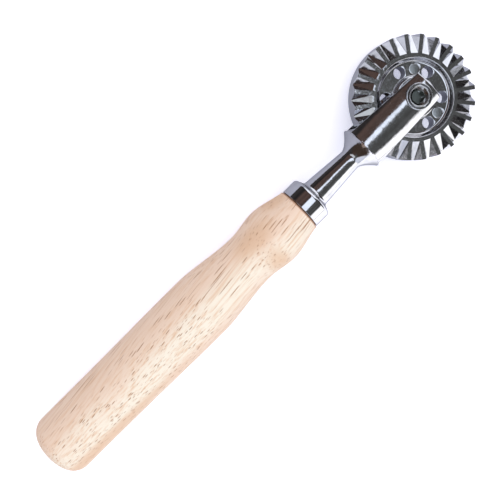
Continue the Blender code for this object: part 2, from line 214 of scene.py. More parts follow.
# Colours of the surfaces, and the finish of the metals
BLACK = (0.0, 0.0, 0.0)
WHITE = (1.0, 1.0, 1.0)
# Partly the wood's tone, partly painted light on the top
WOOD_CREAM_AND_LIGHT = (0.90, 0.84, 0.74)
# Partly the wood's tone, partly painted shade on the upper-left side
WOOD_ROSE_AND_SHADE = (0.86, 0.68, 0.565)
WOOD_TAN = (0.74, 0.49, 0.32)
WOOD_PORE = (0.42, 0.20, 0.09)
# Painted shade on the wood where it meets the ferrule
WOOD_FERRULE_SHADE = (0.48, 0.28, 0.19)
CHROME = (0.64, 0.64, 0.67)
CHROME_DULL = (0.56, 0.56, 0.58)
AXLE_METAL = (0.62, 0.62, 0.63)
TANG_METAL = (0.50, 0.50, 0.51)
PIN_MARK_METAL = (0.34, 0.36, 0.37)
# Painted shade: a dark colour inside the sleeve's socket and bore
SOCKET_PAINTED_SHADE = (0.17, 0.19, 0.18)
STAINS_PER_METRE = 260.0
STAIN_NOISE_SHARES = (0.42, 0.68)
GRAIN_SIZE = 0.0006
GRAIN_NOISE_SHARES = (0.35, 0.70)
DRAWN_GRAIN_DEPTH = 0.000002
CAST_GRAIN_DEPTH = 0.000012
TURNED_GRAIN_DEPTH = 0.000004
ROUGH_SPOT_GRAIN_DEPTH = 0.00004
WAVE_SIZE = 0.0022
FORK_WAVE_DEPTH = 0.00003
WHEEL_WAVE_DEPTH = 0.00002
DRAWN_ROUGHNESS = 0.05
CAST_ROUGHNESS = 0.09
TURNED_ROUGHNESS = 0.12
TANG_ROUGHNESS = 0.35
ROUGH_SPOT_ROUGHNESS = 0.26
ROUGHNESS_RANGE_SHARES = (0.6, 1.8)

# Floor. The lift is what it adds for the camera. Its mirrored part is painted: darker, as painted shade, and
# white up to some Y, as painted light.
FLOOR_HALF_SIZE = 1.5
FLOOR_COLOUR = (0.95, 0.95, 0.97)
# Painted shade: the floor's darker colour in what the chrome mirrors
FLOOR_MIRRORED_SHADE_COLOUR = (0.52, 0.55, 0.66)
FLOOR_LIFT = (0.34, 0.36, 0.46)
# Painted light: where the mirrored floor glows white, up to some Y
MIRRORED_PAINTED_LIGHT_END_LIMITS = (-0.030, -0.012)

# Light from all round: brightest from one side, in the picture's directions, and faint near the floor
BRIGHT_SIDE = (0.7, -0.45, 0.8)
DIM_LIGHT = (0.46, 0.36, 0.33)
BRIGHT_LIGHT = (1.34, 1.32, 1.31)
HORIZON_SHARES = (0.0, 0.55)
HORIZON_LIGHT_SHARE = 0.30

# Studio that the chrome mirrors, in the picture's directions: right, up and towards the viewer.
# Its dark sides stand up to a rim all round, with cards and screens between angles that run from
# right to up.
SIDE_RIM_SHARES = (0.40, 0.54)
SIDE_SOFT_DEGREES = 5.0
SHADE_DEGREES = (-165.0, -103.0)
SCREEN_DEGREES = (-103.0, -18.0)
GAP_DEGREES = (-18.0, 28.0)
CARD_DEGREES = (28.0, 92.0)
CARD_RISE_SHARE = 0.30
HIGH_SCREEN_DEGREES = (-103.0, -62.0)
HIGH_SCREEN_RISE_SHARE = 0.14
SCREEN_COLOUR = (1.75, 1.75, 1.75)
HIGH_SCREEN_COLOUR = (0.90, 0.95, 1.10)
SHADE_COLOUR = (0.06, 0.04, 0.03)
CARD_COLOUR = (1.45, 1.50, 1.60)
SIDE_COLOUR = (0.050, 0.045, 0.045)
TABLE_LINE_SHARES = (-0.07, -0.03)
TABLE_LINE_COLOUR = (0.50, 0.50, 0.52)

# Window overhead, whose sides slant, and the dim ceiling round it
WINDOW_LEFT_SHARE = -0.01
WINDOW_LEFT_SLANT = 0.5
WINDOW_RIGHT_SHARE = 0.325
WINDOW_RIGHT_SLANT = -0.2
WINDOW_REACH_SHARES = (-0.50, 0.55)
WINDOW_LEFT_SOFT_SHARE = 0.040
WINDOW_RIGHT_SOFT_SHARE = 0.014
WINDOW_END_SOFT_SHARE = 0.10
WINDOW_COLOUR = (1.30, 1.42, 1.60)
CEILING_CHANGE_SHARES = (-0.10, 0.25)
CEILING_BROWN = (0.125, 0.080, 0.066)
CEILING_GREY = (0.110, 0.115, 0.113)
CEILING_DARK = (0.030, 0.027, 0.027)

# Card that hangs high at the left, and the ceiling's dark low part and clouds. The card reaches the
# end of the half turn, so its first angle lies past that.
HIGH_CARD_DEGREES = (-190.0, -112.0)
HIGH_CARD_FRONT_SHARES = (0.66, 0.83)
HIGH_CARD_SOFT_SHARE = 0.02
HIGH_CARD_COLOUR = (0.80, 0.84, 0.88)
LOW_DARK_FRONT_SHARES = (0.60, 0.78)
LOW_DARK_SIDE_SHARES = (-0.70, -0.30)
CEILING_CLOUD_SCALE = 5.0
CEILING_CLOUD_NOISE_SHARES = (0.35, 0.70)
CEILING_CLOUD_DARK_SHARE = 0.55

# Facets
ROUND_STEPS = 144
WHEEL_STEPS = 240
SMALL_STEPS = 64
CURVE_STEPS = 24
WIDE_CORNER_STEPS = 16
NECK_STEPS = 8
FLARE_STEPS = 18
YOKE_STEPS = 8
CORNER_STEPS = 8
EDGE_STEPS = 3
SIDE_STEPS = 12
BACK_STEPS = 26
SHARP_DEGREES = 25.0
LARGE_FACE_WEIGHT = 100

# Where a mix node has its share, its two colours and the mixed colour
MIX_SHARE_INPUT = 0
MIX_COLOUR_INPUTS = (6, 7)
MIX_COLOUR_OUTPUT = 2

# Places read from the frame
butt_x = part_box("handle")[0].x
ferrule_low, ferrule_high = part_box("ferrule")
fork_low, fork_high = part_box("fork")
wheel_low, wheel_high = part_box("cutter_wheel")
axle_place = 0.5 * (wheel_low + wheel_high)
axis_height = axle_place.z
wheel_radius = 0.5 * (wheel_high.y - wheel_low.y)
half_hub = 0.5 * (wheel_high.z - wheel_low.z)
boss_height = 0.5 * (fork_high.z - fork_low.z)
head_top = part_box("axle_sleeve")[1].z - axis_height
yoke_start = NECK_LENGTH + FLARE_LENGTH
yoke_length = fork_high.x - fork_low.x - yoke_start


# Meshes

def skinned(rings, ends_joined=False):
    """A closed surface through rings of points. One point is a tip, and open ends get a flat cap."""
    shape = bmesh.new()
    made = [[shape.verts.new(point) for point in ring] for ring in rings]
    pairs = list(zip(made, made[1:]))
    if ends_joined:
        pairs.append((made[-1], made[0]))
    count = max(len(ring) for ring in rings)
    for one, other in pairs:
        for index in range(count):
            after = index + 1
            corners = [one[index % len(one)], one[after % len(one)]]
            corners += [other[after % len(other)], other[index % len(other)]]
            shape.faces.new(list(dict.fromkeys(corners)))
    if not ends_joined:
        for ring in (made[0], made[-1]):
            if len(ring) > 1:
                shape.faces.new(ring)
    bmesh.ops.recalc_face_normals(shape, faces=shape.faces)
    return shape


def along_tool(start):
    """Places a (radius, distance, angle) about the handle's axis, with distances from start."""
    def placed(radius, distance, angle):
        return Vector((start + distance, radius * math.sin(angle), axis_height + radius * math.cos(angle)))
    return placed


def about_axle(side=1.0):
    """Places a (radius, height, angle) about the axle. A side of -1 turns the piece over."""
    def placed(radius, height, angle):
        offset = Vector((radius * math.cos(angle), side * radius * math.sin(angle), side * height))
        return axle_place + offset
    return placed


def turned(profile, steps, placed, ends_joined=False):
    """A profile of (radius, height) points turned about an axis."""
    rings = []
    for radius, height in profile:
        angles = [FULL_TURN * index / steps for index in range(steps)] if radius > 0.0 else [0.0]
        rings.append([placed(radius, height, angle) for angle in angles])
    return skinned(rings, ends_joined)


def arc(centre_radius, centre_height, radius, start, end, steps=CORNER_STEPS):
    """Points of a round corner in a profile, with angles from the +radius direction."""
    points = []
    for index in range(steps + 1):
        angle = start + (end - start) * index / steps
        points.append((centre_radius + radius * math.cos(angle), centre_height + radius * math.sin(angle)))
    return points


def rounded_corner(before, corner, after, radius):
    """Points of the arc that rounds a profile's corner between two straight stretches."""
    middle = Vector(corner)
    one = (Vector(before) - middle).normalized()
    other = (Vector(after) - middle).normalized()
    half = 0.5 * one.angle(other)
    centre = middle + (one + other).normalized() * radius / math.sin(half)
    start = (middle + one * radius / math.tan(half) - centre).normalized()
    end = (middle + other * radius / math.tan(half) - centre).normalized()
    shares = [index / CORNER_STEPS for index in range(CORNER_STEPS + 1)]
    return [tuple(centre + start.slerp(end, share) * radius) for share in shares]


def eased(share):
    """An S curve from 0 to 1, level at both ends."""
    return share * share * (3.0 - 2.0 * share)


def falling(share):
    """A curve from 0 to 1 that is level at its start and meets its end on a slope."""
    return share * share * (2.0 - share)


def curved(start, end, curve):
    """Points from one (radius, height) station to the next, whose radius changes along a curve."""
    points = []
    for index in range(1, CURVE_STEPS + 1):
        share = index / CURVE_STEPS
        points.append((start[0] + (end[0] - start[0]) * curve(share), start[1] + (end[1] - start[1]) * share))
    return points


def new_object(name, shape):
    mesh = bpy.data.meshes.new(name)
    shape.to_mesh(mesh)
    shape.free()
    made = bpy.data.objects.new(name, mesh)
    bpy.context.scene.collection.objects.link(made)
    return made


def applied(thing):
    """Makes the mesh what its modifiers give."""
    evaluated = thing.evaluated_get(bpy.context.evaluated_depsgraph_get())
    mesh = bpy.data.meshes.new_from_object(evaluated)
    thing.modifiers.clear()
    old = thing.data
    thing.data = mesh
    bpy.data.meshes.remove(old)


def welded(thing):
    """Joins the points that cuts left a hair apart, and drops the slivers between them."""
    shape = bmesh.new()
    shape.from_mesh(thing.data)
    bmesh.ops.remove_doubles(shape, verts=shape.verts, dist=WELD_DISTANCE)
    bmesh.ops.dissolve_degenerate(shape, edges=shape.edges, dist=WELD_DISTANCE)
    shape.to_mesh(thing.data)
    shape.free()


def combined(thing, shape, operation):
    """Cuts a shape from a piece, or joins it on."""
    other = new_object("other_solid", shape)
    step = thing.modifiers.new("step", "BOOLEAN")
    step.operation = operation
    step.solver = "EXACT"
    step.object = other
    applied(thing)
    welded(thing)
    bpy.data.objects.remove(other, do_unlink=True)


def edges_rounded(thing, width):
    bevel = thing.modifiers.new("edges", "BEVEL")
    bevel.width = width
    bevel.segments = EDGE_STEPS
    bevel.limit_method = "ANGLE"
    bevel.angle_limit = math.radians(SHARP_DEGREES)
    bevel.use_clamp_overlap = True
    bevel.miter_outer = "MITER_SHARP"
    applied(thing)


def shaded(thing):
    """Smooth, with sharp corners kept, and with flat faces that stay flat beside their edges."""
    thing.data.shade_smooth()
    thing.data.set_sharp_from_angle(angle=math.radians(SHARP_DEGREES))
    normals = thing.modifiers.new("normals", "WEIGHTED_NORMAL")
    normals.keep_sharp = True
    normals.weight = LARGE_FACE_WEIGHT
    applied(thing)


def shown(thing, body, node, material):
    """Finishes a piece that stands for a CAD node."""
    shaded(thing)
    thing.data.materials.clear()
    thing.data.materials.append(material)
    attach(thing, body)
    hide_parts(node)


# Handle and ferrule

def handle_profile():
    corner = (BUTT_RADIUS - BUTT_CORNER_RADIUS, BUTT_CORNER_RADIUS)
    butt_side = (BUTT_RADIUS, BUTT_TAPER_LENGTH)
    belly = (BELLY_RADIUS, HANDLE_LENGTH - BELLY_TO_SHOULDER)
    waist = (WAIST_RADIUS, HANDLE_LENGTH - WAIST_TO_SHOULDER)
    swell = (SWELL_RADIUS, HANDLE_LENGTH - SWELL_TO_SHOULDER)
    shoulder = (SHOULDER_RADIUS, HANDLE_LENGTH - SHOULDER_EDGE)
    tenon_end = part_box("handle")[1].x - butt_x
    profile = [(0.0, 0.0)]
    profile += arc(*corner, BUTT_CORNER_RADIUS, -QUARTER_TURN, 0.0, WIDE_CORNER_STEPS)
    profile += curved(butt_side, belly, eased)
    profile += curved(belly, waist, eased)
    profile += curved(waist, swell, eased)
    profile += curved(swell, shoulder, falling)
    lip = HANDLE_LENGTH + SHOULDER_LIP
    profile += arc(SHOULDER_RADIUS - SHOULDER_EDGE, lip - SHOULDER_EDGE, SHOULDER_EDGE, 0.0, QUARTER_TURN)
    profile += [(TENON_RADIUS, lip), (TENON_RADIUS, tenon_end), (0.0, tenon_end)]
    return profile


def make_handle(material):
    handle = new_object("handle_wood", turned(handle_profile(), ROUND_STEPS, along_tool(butt_x)))
    shown(handle, "handle_and_fork", "handle", material)


def make_ferrule(material):
    radius = ferrule_high.z - axis_height
    length = ferrule_high.x - ferrule_low.x - SHOULDER_LIP
    inner = radius - FERRULE_WALL
    front = length - FERRULE_WALL
    profile = arc(radius - FERRULE_BACK_EDGE, FERRULE_BACK_EDGE, FERRULE_BACK_EDGE, -QUARTER_TURN, 0.0)
    profile += arc(radius - FERRULE_EDGE_RADIUS, length - FERRULE_EDGE_RADIUS, FERRULE_EDGE_RADIUS,
                   0.0, QUARTER_TURN, WIDE_CORNER_STEPS)
    profile += [(STEM_HOLE_RADIUS, length), (STEM_HOLE_RADIUS, front), (inner, front), (inner, 0.0)]
    shape = turned(profile, ROUND_STEPS, along_tool(ferrule_low.x + SHOULDER_LIP), ends_joined=True)
    shown(new_object("ferrule_cap", shape), "handle_and_fork", "ferrule", material)


# Fork

def stem_profile():
    """Stations of the turned foot, neck and flare, as (radius, distance from the foot)."""
    profile = arc(FOOT_RADIUS + FOOT_FILLET_RADIUS, FOOT_FILLET_RADIUS, FOOT_FILLET_RADIUS,
                  -QUARTER_TURN, -2.0 * QUARTER_TURN)
    for index in range(1, NECK_STEPS + 1):
        share = index / NECK_STEPS
        profile.append((FOOT_RADIUS + (NECK_RADIUS - FOOT_RADIUS) * share,
                        FOOT_FILLET_RADIUS + (NECK_LENGTH - FOOT_FILLET_RADIUS) * share))
    for index in range(1, FLARE_STEPS + 1):
        share = index / FLARE_STEPS
        profile.append((NECK_RADIUS + (FLARE_RADIUS - NECK_RADIUS) * share ** FLARE_BEND,
                        NECK_LENGTH + FLARE_LENGTH * share))
    return profile


def yoke_quarter(distance, inset):
    """A quarter of the yoke's section as (y, z), from its side to the middle of its back."""
    share = distance / yoke_length
    half_width = 0.5 * (YOKE_BASE_WIDTH + (YOKE_TIP_WIDTH - YOKE_BASE_WIDTH) * share) - inset
    half_depth = 0.5 * (YOKE_BASE_DEPTH + (YOKE_TIP_DEPTH - YOKE_BASE_DEPTH) * share) - inset
    base_share = max(0.0, 1.0 - share / CHEEK_BASE_SHARE) ** 2
    back = CHEEK_BACK_RADIUS + (CHEEK_BASE_BACK_RADIUS - CHEEK_BACK_RADIUS) * base_share - inset
    back_centre = half_depth - back
    edge = max(CHEEK_EDGE - inset, TINY)
    edge_y = half_width - edge
    edge_z = back_centre + math.sqrt((back - edge) ** 2 - edge_y ** 2)
    lean = math.atan2(edge_y, edge_z - back_centre)
    points = [(half_width, edge_z * index / SIDE_STEPS) for index in range(SIDE_STEPS)]
    points += arc(edge_y, edge_z, edge, 0.0, QUARTER_TURN - lean)
    for index in range(1, BACK_STEPS + 1):
        angle = lean * (1.0 - index / BACK_STEPS)
        points.append((back * math.sin(angle), back_centre + back * math.cos(angle)))
    return points


def all_round(quarter):
    """The whole outline of a section from one quarter of it."""
    half = quarter + [(-y, z) for y, z in reversed(quarter[:-1])]
    return half + [(y, -z) for y, z in reversed(half[1:-1])]


def stem_ring(radius, distance):
    """A round section whose points lie in the directions of the yoke's."""
    ring = []
    for y, z in all_round(yoke_quarter(0.0, BASE_EDGE)):
        scale = radius / math.hypot(y, z)
        ring.append(Vector((fork_low.x + distance, y * scale, axis_height + z * scale)))
    return ring


def yoke_ring(distance, inset=0.0, rim_radius=0.0):
    """A section of the yoke, no narrower than the flare's rim, where that is given."""
    ring = []
    for y, z in all_round(yoke_quarter(distance, inset)):
        scale = max(1.0, rim_radius / math.hypot(y, z))
        place = fork_low.x + yoke_start + distance
        ring.append(Vector((place, y * scale, axis_height + z * scale)))
    return ring


def edge_stations(width):
    """Distances and insets of an edge that is rounded from flat end to side."""
    angles = [QUARTER_TURN * index / CORNER_STEPS for index in range(CORNER_STEPS + 1)]
    return [(width * (1.0 - math.cos(angle)), width * (1.0 - math.sin(angle))) for angle in angles]


def fork_body():
    """The fork's outer form, before its slot, bosses and bores, in triangles that cuts can't bend."""
    rings = [stem_ring(radius, distance) for radius, distance in stem_profile()]
    for distance, inset in edge_stations(BASE_EDGE):
        rim_radius = FLARE_RADIUS if distance < FLARE_RIM else 0.0
        rings.append(yoke_ring(distance + TINY, inset, rim_radius))
    straight = yoke_length - TIP_EDGE - BASE_EDGE
    for index in range(1, YOKE_STEPS):
        rings.append(yoke_ring(BASE_EDGE + straight * index / YOKE_STEPS))
    for distance, inset in reversed(edge_stations(TIP_EDGE)):
        rings.append(yoke_ring(yoke_length - distance, inset))
    shape = skinned(rings)
    bmesh.ops.triangulate(shape, faces=shape.faces)
    return shape


def slot_box():
    low = axle_place.x - wheel_radius - SLOT_BEHIND_WHEEL
    high = fork_high.x + OVERRUN
    shape = bmesh.new()
    bmesh.ops.create_cube(shape, size=1.0)
    scale = Matrix.Diagonal((high - low, 2.0 * YOKE_BASE_WIDTH, SLOT_WIDTH, 1.0))
    centre = Vector((0.5 * (low + high), 0.0, axis_height))
    bmesh.ops.transform(shape, matrix=Matrix.Translation(centre) @ scale, verts=shape.verts)
    return shape


def make_fork(material):
    fork = new_object("fork_casting", fork_body())
    rounded = boss_height - BOSS_EDGE
    bosses = [(0.0, -boss_height)]
    bosses += arc(BOSS_RADIUS - BOSS_EDGE, -rounded, BOSS_EDGE, -QUARTER_TURN, 0.0)
    bosses += arc(BOSS_RADIUS - BOSS_EDGE, rounded, BOSS_EDGE, 0.0, QUARTER_TURN)
    bosses += [(0.0, boss_height)]
    combined(fork, turned(bosses, ROUND_STEPS, about_axle()), "UNION")
    combined(fork, slot_box(), "DIFFERENCE")
    seat = head_top - AXLE_HEAD_THICKNESS - TINY
    beyond = boss_height + OVERRUN
    bore = [(0.0, -beyond), (SEAT_RADIUS, -beyond), (SEAT_RADIUS, -seat), (BORE_RADIUS, -seat)]
    bore += [(BORE_RADIUS, seat), (SEAT_RADIUS, seat), (SEAT_RADIUS, beyond), (0.0, beyond)]
    combined(fork, turned(bore, ROUND_STEPS, about_axle()), "DIFFERENCE")
    stem_hole = [(0.0, -OVERRUN), (STEM_HOLE_RADIUS, -OVERRUN), (STEM_HOLE_RADIUS, STEM_HOLE_DEPTH)]
    stem_hole += [(0.0, STEM_HOLE_DEPTH)]
    combined(fork, turned(stem_hole, SMALL_STEPS, along_tool(fork_low.x)), "DIFFERENCE")
    shown(fork, "handle_and_fork", "fork", material)


# Wheel

def wheel_profile():
    """The wheel's section without its pockets: the upper half, then the same below."""
    rim = 0.5 * RIM_THICKNESS
    web = rim - RECESS_DEPTH
    upper = [(BORE_RADIUS, half_hub)]
    upper += arc(HUB_RADIUS - HUB_EDGE, half_hub - HUB_EDGE, HUB_EDGE, QUARTER_TURN, 0.0)
    hub_side, hub_foot = (HUB_RADIUS, half_hub), (HUB_RADIUS, web)
    recess_foot, recess_top = (RECESS_FOOT_RADIUS, web), (RECESS_TOP_RADIUS, rim)
    upper += rounded_corner(hub_side, hub_foot, recess_foot, HUB_FILLET_RADIUS)
    upper += rounded_corner(hub_foot, recess_foot, recess_top, RECESS_FILLET_RADIUS)
    upper += rounded_corner(recess_foot, recess_top, (wheel_radius, rim), RECESS_EDGE_RADIUS)
    upper.append((wheel_radius, rim))
    lower = [(radius, -height) for radius, height in reversed(upper)]
    return upper + lower


def pocket(shape, angle):
    """Adds the solid of one crimping pocket: two flanks, and a floor that narrows to the rim."""
    top = 0.5 * RIM_THICKNESS
    inner = POCKET_INNER_RADIUS
    outer = wheel_radius
    half_pitch = math.tan(0.5 * FULL_TURN / RIB_COUNT)
    inner_half = inner * half_pitch - 0.5 * RIB_WIDTH
    outer_half = outer * half_pitch - 0.5 * RIB_WIDTH
    spread = (outer_half - inner_half) / (outer - inner)
    fall = (outer_half - POCKET_FLOOR_HALF_WIDTH) / POCKET_DEPTH

    def flank(x, z):
        return outer_half + spread * (x - outer) + fall * (z - top)

    high = top + OVERRUN
    beyond = outer + OVERRUN
    low = top - POCKET_DEPTH - OVERRUN * POCKET_DEPTH / (outer - inner)
    corners = []
    for x, z in ((inner, high), (inner, top), (beyond, high), (beyond, low)):
        corners += [(x, flank(x, z), z), (x, -flank(x, z), z)]
    turn = Matrix.Rotation(angle, 3, "Z")
    points = [shape.verts.new(axle_place + turn @ Vector(corner)) for corner in corners]
    bmesh.ops.convex_hull(shape, input=points)


def on_hole_circle(angle):
    """A place on the circle that the web's holes and pin marks share."""
    return axle_place + Vector((HOLE_CIRCLE * math.cos(angle), HOLE_CIRCLE * math.sin(angle), 0.0))


def hole_bars(half_length):
    """Round bars for the holes through the web."""
    shape = bmesh.new()
    for index in range(HOLE_COUNT):
        angle = math.radians(HOLE_START_DEGREES) + FULL_TURN * index / HOLE_COUNT
        bmesh.ops.create_cone(shape, cap_ends=True, segments=SMALL_STEPS, radius1=HOLE_RADIUS,
                              radius2=HOLE_RADIUS, depth=2.0 * half_length,
                              matrix=Matrix.Translation(on_hole_circle(angle)))
    return shape


def pin_mark_angles():
    start = math.radians(PIN_MARK_START_DEGREES)
    return [start + FULL_TURN * index / PIN_MARK_COUNT for index in range(PIN_MARK_COUNT)]


def pin_mark(angle, low, high):
    """A bar that cuts a pin mark, with a shallow ridge round its lower end for the mark's groove."""
    centre = on_hole_circle(angle)

    def placed(radius, height, around):
        return centre + Vector((radius * math.cos(around), radius * math.sin(around), height))

    profile = [(0.0, low), (PIN_MARK_RADIUS - PIN_MARK_GROOVE_WIDTH, low)]
    profile += [(PIN_MARK_RADIUS - 0.5 * PIN_MARK_GROOVE_WIDTH, low - PIN_MARK_GROOVE_DEPTH)]
    profile += [(PIN_MARK_RADIUS, low), (PIN_MARK_RADIUS, high), (0.0, high)]
    return turned(profile, SMALL_STEPS, placed)


def make_wheel(material):
    ring = turned(wheel_profile(), WHEEL_STEPS, about_axle(), ends_joined=True)
    wheel = new_object("wheel_casting", ring)
    pockets = bmesh.new()
    for index in range(RIB_COUNT):
        pocket(pockets, math.radians(RIB_START_DEGREES) + FULL_TURN * (index + 0.5) / RIB_COUNT)
    bmesh.ops.recalc_face_normals(pockets, faces=pockets.faces)
    combined(wheel, pockets, "DIFFERENCE")
    beyond = half_hub + OVERRUN
    combined(wheel, hole_bars(beyond), "DIFFERENCE")
    mark_floor = 0.5 * RIM_THICKNESS - RECESS_DEPTH - PIN_MARK_DEPTH
    for angle in pin_mark_angles():
        combined(wheel, pin_mark(angle, mark_floor, beyond), "DIFFERENCE")
    edges_rounded(wheel, CAST_EDGE)
    shown(wheel, "wheel", "cutter_wheel", material)


# Axle

def screw_head_profile():
    edge = AXLE_HEAD_EDGE
    profile = [(0.0, head_top)]
    profile += arc(AXLE_HEAD_RADIUS - edge, head_top - edge, edge, QUARTER_TURN, 0.0)
    return profile + [(AXLE_HEAD_RADIUS, head_top - AXLE_HEAD_THICKNESS)]


def rolled_head_profile():
    """A wide mouth that narrows to the socket, inside a ring with a rolled top."""
    ring = 0.5 * (AXLE_HEAD_RADIUS - MOUTH_RADIUS)
    profile = [(0.0, head_top - MOUTH_DEPTH), (MOUTH_FOOT_RADIUS, head_top - MOUTH_DEPTH)]
    profile += arc(MOUTH_RADIUS + ring, head_top - ring, ring, 2.0 * QUARTER_TURN, 0.0, WIDE_CORNER_STEPS)
    return profile + [(AXLE_HEAD_RADIUS, head_top - AXLE_HEAD_THICKNESS)]


def hex_socket(across_flats, depth, side):
    corner = 0.5 * across_flats / math.cos(math.pi / HEX_SIDES)
    turn = math.radians(SOCKET_TURN_DEGREES)
    placed = about_axle(side)
    angles = [turn + FULL_TURN * index / HEX_SIDES for index in range(HEX_SIDES)]
    heights = (head_top - depth, head_top + OVERRUN)
    return skinned([[placed(corner, height, angle) for angle in angles] for height in heights])


def make_sleeve(material):
    under = head_top - AXLE_HEAD_THICKNESS
    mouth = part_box("axle_sleeve")[0].z - axis_height
    end = mouth + SLEEVE_BORE_DEPTH
    profile = rolled_head_profile() + [(AXLE_RADIUS, under), (AXLE_RADIUS, mouth)]
    profile += [(SLEEVE_BORE_RADIUS, mouth), (SLEEVE_BORE_RADIUS, end), (0.0, end)]
    sleeve = new_object("axle_sleeve_turned", turned(profile, ROUND_STEPS, about_axle()))
    combined(sleeve, hex_socket(SLEEVE_SOCKET_ACROSS_FLATS, SLEEVE_SOCKET_DEPTH, 1.0), "DIFFERENCE")
    shown(sleeve, "handle_and_fork", "axle_sleeve", material)


def make_screw(material):
    under = head_top - AXLE_HEAD_THICKNESS
    profile = screw_head_profile() + [(SCREW_RADIUS, under), (SCREW_RADIUS, under - SCREW_LENGTH)]
    profile += [(0.0, under - SCREW_LENGTH)]
    screw = new_object("axle_screw_turned", turned(profile, ROUND_STEPS, about_axle(-1.0)))
    combined(screw, hex_socket(SCREW_SOCKET_ACROSS_FLATS, SCREW_SOCKET_DEPTH, -1.0), "DIFFERENCE")
    shown(screw, "handle_and_fork", "axle_screw", material)


# Node trees

def add_node(tree, kind, inputs=(), **settings):
    """Adds a node. inputs holds values or sockets by name or number."""
    made = tree.nodes.new(kind)
    for name, value in settings.items():
        setattr(made, name, value)
    for key, value in dict(inputs).items():
        if isinstance(value, bpy.types.NodeSocket):
            tree.links.new(value, made.inputs[key])
        else:
            made.inputs[key].default_value = value
    return made


def calculated(tree, operation, *values):
    return add_node(tree, "ShaderNodeMath", dict(enumerate(values)), operation=operation).outputs[0]


def with_vectors(tree, operation, *values):
    """Outputs of a sum with vectors, which is in Value where it is one number and else in Vector."""
    return add_node(tree, "ShaderNodeVectorMath", dict(enumerate(values)), operation=operation).outputs


def dotted(tree, vector, direction):
    """How far a vector reaches in a direction."""
    return with_vectors(tree, "DOT_PRODUCT", vector, tuple(direction))["Value"]


def stepped(tree, value, low, high, start=0.0, end=1.0):
    """Goes smoothly from start to end as the value goes from low to high."""
    inputs = {"Value": value, "From Min": low, "From Max": high, "To Min": start, "To Max": end}
    return add_node(tree, "ShaderNodeMapRange", inputs, interpolation_type="SMOOTHSTEP").outputs["Result"]


def above(tree, value, edge, soft):
    """1 above an edge and 0 below it, with a soft change between them."""
    return stepped(tree, value, edge - soft, edge + soft)


def banded(tree, value, low, high, soft):
    """1 between two values, and 0 outside them, with soft edges."""
    return calculated(tree, "SUBTRACT", above(tree, value, low, soft), above(tree, value, high, soft))


def slanted(tree, value, other, slant):
    """The value, less another one times the slant."""
    return calculated(tree, "MULTIPLY_ADD", other, -slant, value)


def mixed(tree, share, one, other):
    """Mixes two colours. A colour is a socket or three numbers."""
    colours = [value if isinstance(value, bpy.types.NodeSocket) else (*value, 1.0) for value in (one, other)]
    inputs = {MIX_SHARE_INPUT: share, **dict(zip(MIX_COLOUR_INPUTS, colours))}
    return add_node(tree, "ShaderNodeMix", inputs, data_type="RGBA").outputs[MIX_COLOUR_OUTPUT]


def new_material(name, metallic):
    made = bpy.data.materials.new(name)
    made.use_nodes = True
    shader = made.node_tree.nodes["Principled BSDF"]
    shader.inputs["Metallic"].default_value = metallic
    return made, made.node_tree, shader


def noise(tree, vector, scale, octaves, smaller_share=PLAIN_SHARE):
    inputs = {"Vector": vector, "Scale": scale, "Detail": octaves, "Roughness": smaller_share}
    return add_node(tree, "ShaderNodeTexNoise", inputs).outputs["Fac"]


def bumped(tree, height, depth, below=None):
    """The normal of a surface with bumps of some depth, over another such normal if one is given."""
    inputs = {"Strength": 1.0, "Distance": depth, "Height": height}
    if below is not None:
        inputs["Normal"] = below
    return add_node(tree, "ShaderNodeBump", inputs).outputs["Normal"]


def place_on_piece(tree):
    return add_node(tree, "ShaderNodeTexCoord").outputs["Object"]


# Materials

def round_spots(tree, place, centres, radius):
    """1 inside upright round bars about some centres, and 0 outside."""
    share = 0.0
    for centre in centres:
        offset = with_vectors(tree, "SUBTRACT", place, centre)["Vector"]
        level = with_vectors(tree, "MULTIPLY", offset, (1.0, 1.0, 0.0))["Vector"]
        distance = with_vectors(tree, "LENGTH", level)["Value"]
        share = calculated(tree, "ADD", calculated(tree, "LESS_THAN", distance, radius), share)
    return share


def chrome_material(name, colour, roughness, grain_depth, wave_depth=0.0, rough_and_shaded_spots=None):
    """Metal with faint stains, uneven gloss and fine grain, and with waves and rough spots if given. The
    spots have a colour of their own: dull pin marks, and painted shade inside a socket.
    """
    made, tree, shader = new_material(name, 1.0)
    place = place_on_piece(tree)
    stains = noise(tree, place, STAINS_PER_METRE, STAIN_OCTAVES)
    colour = mixed(tree, stepped(tree, stains, *STAIN_NOISE_SHARES), colour, CHROME_DULL)
    grain = noise(tree, place, 1.0 / GRAIN_SIZE, GRAIN_OCTAVES, CRISP_SHARE)
    limits = [share * roughness for share in ROUGHNESS_RANGE_SHARES]
    gloss = stepped(tree, grain, *GRAIN_NOISE_SHARES, *limits)
    if rough_and_shaded_spots:
        centres, radius, spot_colour = rough_and_shaded_spots
        rough = round_spots(tree, place, centres, radius)
        colour = mixed(tree, rough, colour, spot_colour)
        gloss = calculated(tree, "MULTIPLY_ADD", rough, ROUGH_SPOT_ROUGHNESS, gloss)
        grain_depth = calculated(tree, "MULTIPLY_ADD", rough, ROUGH_SPOT_GRAIN_DEPTH, grain_depth)
    waves = None
    if wave_depth:
        waves = bumped(tree, noise(tree, place, 1.0 / WAVE_SIZE, WAVE_OCTAVES), wave_depth)
    tree.links.new(colour, shader.inputs["Base Color"])
    tree.links.new(gloss, shader.inputs["Roughness"])
    tree.links.new(bumped(tree, grain, grain_depth, waves), shader.inputs["Normal"])
    return made


def drawn_chrome():
    return chrome_material("drawn_chrome", CHROME, DRAWN_ROUGHNESS, DRAWN_GRAIN_DEPTH)


def cast_chrome():
    return chrome_material("cast_chrome", CHROME, CAST_ROUGHNESS, CAST_GRAIN_DEPTH, FORK_WAVE_DEPTH)


